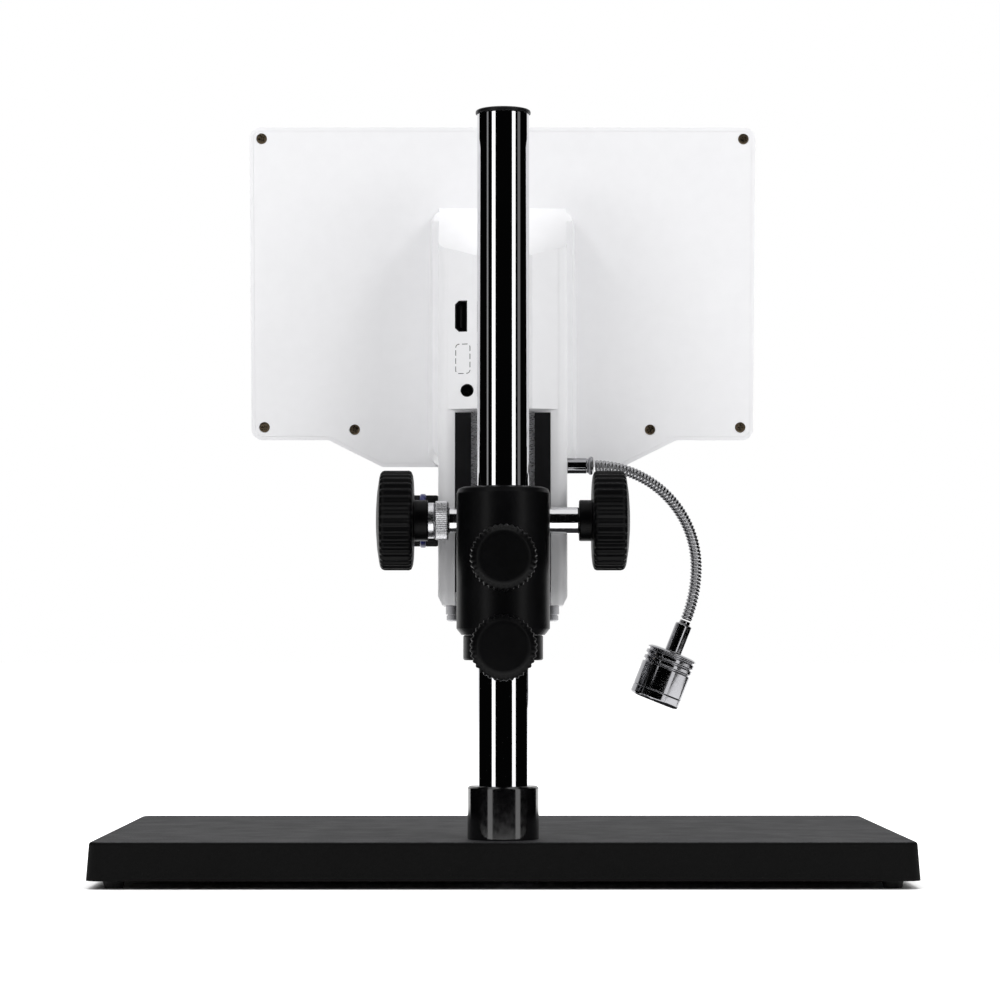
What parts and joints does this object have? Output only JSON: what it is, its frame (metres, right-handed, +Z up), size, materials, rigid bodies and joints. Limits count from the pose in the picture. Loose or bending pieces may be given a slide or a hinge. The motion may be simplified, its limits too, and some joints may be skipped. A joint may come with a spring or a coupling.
{
  "type": "lcd digital microscope",
  "caption": "Bench microscope with a tilted flat screen on its camera column, rack and pinion focus, chrome post on a heavy base and a gooseneck lamp.",
  "frame": {"origin": "centre of the base's footprint on the surface it stands on", "axes": "+Z up along the post, +X to the user's right along the base's long side, the screen faces -Y and the post stands at +Y"},
  "size_m": [0.39, 0.2522, 0.375],
  "materials": {
    "base_grey": "textured powder coat, dark grey",
    "rubber_black": "matt",
    "screw_steel": "zinc plated",
    "steel": "turned",
    "black_gloss": "gloss black",
    "post_chrome": "polished",
    "black_plastic": "moulded, slight sheen",
    "arm_black": "satin black paint on a casting",
    "knob_black": "satin black, fluted",
    "bright_chrome": "polished",
    "satin_aluminium": "satin, knurled",
    "brass": "cut teeth",
    "slide_black": "black anodised",
    "white_plastic": "white, semi-gloss",
    "screw_bronze": "dark zinc",
    "screen_glass": "clear, over a dark panel",
    "panel_black": "dark panel, switched off",
    "board_green": "solder mask",
    "board_white": "white solder mask",
    "socket_black": "black",
    "ring_grey": "grey satin",
    "lens_glass": "coated",
    "band_blue": "dark blue",
    "button_grey": "grey",
    "hose_steel": "ribbed steel hose"
  },
  "bodies": {
    "stand": {"base_casting": "base_grey", "feet": "rubber_black", "foot_screws": "screw_steel", "post_socket": "black_gloss", "post_tube": "post_chrome", "post_plug": "steel", "post_bolt": "steel", "post_cap": "black_plastic"},
    "collar": {"stop_collar": "arm_black"},
    "collar_clamp": {"collar_knob": "knob_black", "collar_stud": "steel"},
    "arm": {"focus_arm": "arm_black", "left_bush": "bright_chrome", "right_bush": "bright_chrome"},
    "arm_clamp": {"arm_knob": "knob_black", "arm_stud": "steel"},
    "tension": {"tension_ring": "satin_aluminium"},
    "focus_shaft": {"pinion_shaft": "steel", "pinion": "brass", "shaft_collar": "satin_aluminium", "focus_wheel_left": "knob_black", "focus_wheel_right": "knob_black"},
    "head": {"slide_plate": "slide_black", "dovetail_slide": "satin_aluminium", "focus_rack": "brass", "slide_screws": "screw_steel", "rear_cover": "white_plastic", "cover_screws": "screw_bronze", "column_front_cover": "white_plastic", "front_frame": "white_plastic", "screen_glass": "screen_glass", "lcd_panel": "panel_black", "main_board": "board_green", "button_board": "board_green", "io_board": "board_green", "hdmi_socket": "socket_black", "dc_jack": "socket_black", "lens_ring": "ring_grey", "lens_barrel": "black_plastic", "lens_elements": "lens_glass", "sensor_board": "board_green"},
    "dial": {"dial_wheel": "knob_black", "dial_band": "band_blue", "dial_shaft": "steel"},
    "lamp_base": {"lamp_ferrule": "bright_chrome", "ferrule_nut": "steel"},
    "neck_1": {"neck_link_1": "hose_steel"},
    "neck_2": {"neck_link_2": "hose_steel"},
    "neck_3": {"neck_link_3": "hose_steel"},
    "neck_4": {"neck_link_4": "hose_steel"},
    "lamp": {"lamp_sleeve": "bright_chrome", "lamp_housing": "bright_chrome", "lamp_bezel": "bright_chrome", "lamp_lens": "lens_glass", "lamp_led_board": "board_white"},
    "button_1": {"button_1": "button_grey"},
    "button_2": {"button_2": "button_grey"},
    "button_3": {"button_3": "button_grey"},
    "button_4": {"button_4": "button_grey"},
    "button_5": {"button_5": "button_grey"}
  },
  "joints": [
    {"name": "collar_height", "type": "slide", "parent": "stand", "child": "collar", "axis": [0, 0, 1], "range_m": [-0.055, 0.175]},
    {"name": "collar_clamp_turn", "type": "hinge", "parent": "collar", "child": "collar_clamp", "pos_m": [0, 0.08188, 0.1126], "axis": [0, 1, 0], "range_deg": [-180, 180]},
    {"name": "arm_swivel", "type": "hinge", "parent": "collar", "child": "arm", "pos_m": [0, 0.08188, 0.15], "axis": [0, 0, 1], "range_deg": [-120, 120]},
    {"name": "arm_clamp_turn", "type": "hinge", "parent": "arm", "child": "arm_clamp", "pos_m": [0, 0.08188, 0.1544], "axis": [0, 1, 0], "range_deg": [-180, 180]},
    {"name": "tension_turn", "type": "hinge", "parent": "arm", "child": "tension", "pos_m": [0.029, 0.05387, 0.1742], "axis": [1, 0, 0], "range_deg": [-90, 90]},
    {"name": "head_focus", "type": "slide", "parent": "arm", "child": "head", "axis": [0, 0, 1], "range_m": [-0.03, 0.027]},
    {"name": "focus_shaft_turn", "type": "hinge", "parent": "arm", "child": "focus_shaft", "pos_m": [0, 0.05387, 0.1742], "axis": [1, 0, 0], "range_deg": [-260, 290]},
    {"name": "dial_turn", "type": "hinge", "parent": "head", "child": "dial", "pos_m": [0.036, 0.00588, 0.176], "axis": [1, 0, 0], "range_deg": [-150, 150]},
    {"name": "lamp_swivel", "type": "hinge", "parent": "head", "child": "lamp_base", "pos_m": [-0.0385, 0.01988, 0.2027], "axis": [-1, 0, 0], "range_deg": [-40, 40]},
    {"name": "neck_bend_1", "type": "hinge", "parent": "lamp_base", "child": "neck_1", "pos_m": [-0.046, 0.01988, 0.2027], "axis": [0, -1, 0], "range_deg": [-12, 6]},
    {"name": "neck_bend_2", "type": "hinge", "parent": "neck_1", "child": "neck_2", "pos_m": [-0.071, 0.01988, 0.196], "axis": [0, -1, 0], "range_deg": [-12, 6]},
    {"name": "neck_bend_3", "type": "hinge", "parent": "neck_2", "child": "neck_3", "pos_m": [-0.0893, 0.01988, 0.1777], "axis": [0, -1, 0], "range_deg": [-12, 6]},
    {"name": "neck_bend_4", "type": "hinge", "parent": "neck_3", "child": "neck_4", "pos_m": [-0.096, 0.01988, 0.1527], "axis": [0, -1, 0], "range_deg": [-12, 6]},
    {"name": "neck_bend_5", "type": "hinge", "parent": "neck_4", "child": "lamp", "pos_m": [-0.09092, 0.01988, 0.12633], "axis": [0, -1, 0], "range_deg": [-12, 6]},
    {"name": "button_press_1", "type": "slide", "parent": "head", "child": "button_1", "axis": [0, 0.9903, -0.1392], "range_m": [0, 0.0012], "stiffness_N_per_m": 1500, "springref_m": -0.0006},
    {"name": "button_press_2", "type": "slide", "parent": "head", "child": "button_2", "axis": [0, 0.9903, -0.1392], "range_m": [0, 0.0012], "stiffness_N_per_m": 1500, "springref_m": -0.0006},
    {"name": "button_press_3", "type": "slide", "parent": "head", "child": "button_3", "axis": [0, 0.9903, -0.1392], "range_m": [0, 0.0012], "stiffness_N_per_m": 1500, "springref_m": -0.0006},
    {"name": "button_press_4", "type": "slide", "parent": "head", "child": "button_4", "axis": [0, 0.9903, -0.1392], "range_m": [0, 0.0012], "stiffness_N_per_m": 1500, "springref_m": -0.0006},
    {"name": "button_press_5", "type": "slide", "parent": "head", "child": "button_5", "axis": [0, 0.9903, -0.1392], "range_m": [0, 0.0012], "stiffness_N_per_m": 1500, "springref_m": -0.0006}
  ],
  "couplings": [
    {"joint": "focus_shaft_turn", "follows": "head_focus", "rad_per_m": -166.67}
  ]
}
